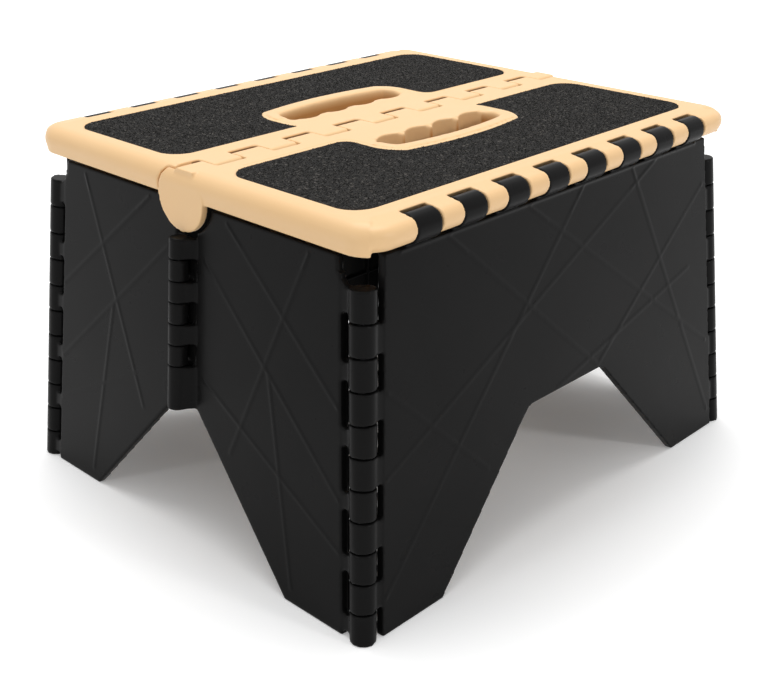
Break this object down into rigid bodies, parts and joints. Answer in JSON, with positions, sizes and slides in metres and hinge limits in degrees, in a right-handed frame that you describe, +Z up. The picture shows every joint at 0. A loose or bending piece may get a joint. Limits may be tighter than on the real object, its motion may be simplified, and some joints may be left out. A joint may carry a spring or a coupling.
{
  "type": "folding step stool",
  "caption": "Low folding step stool with a split tread, two arched side panels and hinged end panels that fold inward.",
  "frame": {"origin": "centre of the footprint on the floor", "axes": "+X along the tread's length to the right end, +Y from the near side to the far side, +Z up"},
  "size_m": [0.3698, 0.3136, 0.2298],
  "materials": {
    "panels": "satin moulded plastic",
    "tread": "satin moulded plastic",
    "grit": "coarse anti-slip grit",
    "pins": "plain drawn wire"
  },
  "bodies": {
    "near_side": {"side_panel_near": "panels", "pin_left_near": "pins", "pin_right_near": "pins", "pin_tread_near": "pins"},
    "left_near": {"end_left_near": "panels", "pin_left_end": "pins"},
    "left_far": {"end_left_far": "panels"},
    "far_side": {"side_panel_far": "panels", "pin_left_far": "pins", "pin_right_far": "pins", "pin_tread_far": "pins"},
    "right_near": {"end_right_near": "panels", "pin_right_end": "pins"},
    "right_far": {"end_right_far": "panels"},
    "near_tread": {"tread_near": "tread", "grit_near": "grit", "pin_tread_mid": "pins"},
    "far_tread": {"tread_far": "tread", "grit_far": "grit"}
  },
  "joints": [
    {"name": "fold", "type": "hinge", "parent": "near_side", "child": "left_near", "pos_m": [-0.17628, -0.14945, 0], "axis": [-0.0948, -0.0804, -0.9922], "range_deg": [0, 90.44]},
    {"name": "left_middle", "type": "hinge", "parent": "left_near", "child": "left_far", "pos_m": [-0.18815, 0, 0], "axis": [0.1015, 0, 0.9948], "range_deg": [0, 180.11]},
    {"name": "left_far_corner", "type": "hinge", "parent": "left_far", "child": "far_side", "pos_m": [-0.17628, 0.14945, 0], "axis": [-0.0948, 0.0804, -0.9922], "range_deg": [0, 90.44]},
    {"name": "right_near_corner", "type": "hinge", "parent": "near_side", "child": "right_near", "pos_m": [0.17628, -0.14945, 0], "axis": [-0.0948, 0.0804, 0.9922], "range_deg": [0, 90.44]},
    {"name": "right_far_corner", "type": "hinge", "parent": "far_side", "child": "right_far", "pos_m": [0.17628, 0.14945, 0], "axis": [0.0948, 0.0804, -0.9922], "range_deg": [0, 90.44]},
    {"name": "near_tread_hinge", "type": "hinge", "parent": "near_side", "child": "near_tread", "pos_m": [0, -0.1394, 0.22], "axis": [1, 0, 0], "range_deg": [0, 81.5]},
    {"name": "far_tread_hinge", "type": "hinge", "parent": "far_side", "child": "far_tread", "pos_m": [0, 0.1394, 0.22], "axis": [-1, 0, 0], "range_deg": [0, 81.5]}
  ],
  "couplings": [
    {"joint": "left_middle", "follows": "fold", "ratio": 1.9914},
    {"joint": "left_far_corner", "follows": "fold", "ratio": 1},
    {"joint": "right_near_corner", "follows": "fold", "ratio": 1},
    {"joint": "right_far_corner", "follows": "fold", "ratio": 1},
    {"joint": "near_tread_hinge", "follows": "fold", "ratio": 0.901},
    {"joint": "far_tread_hinge", "follows": "fold", "ratio": 0.901}
  ]
}
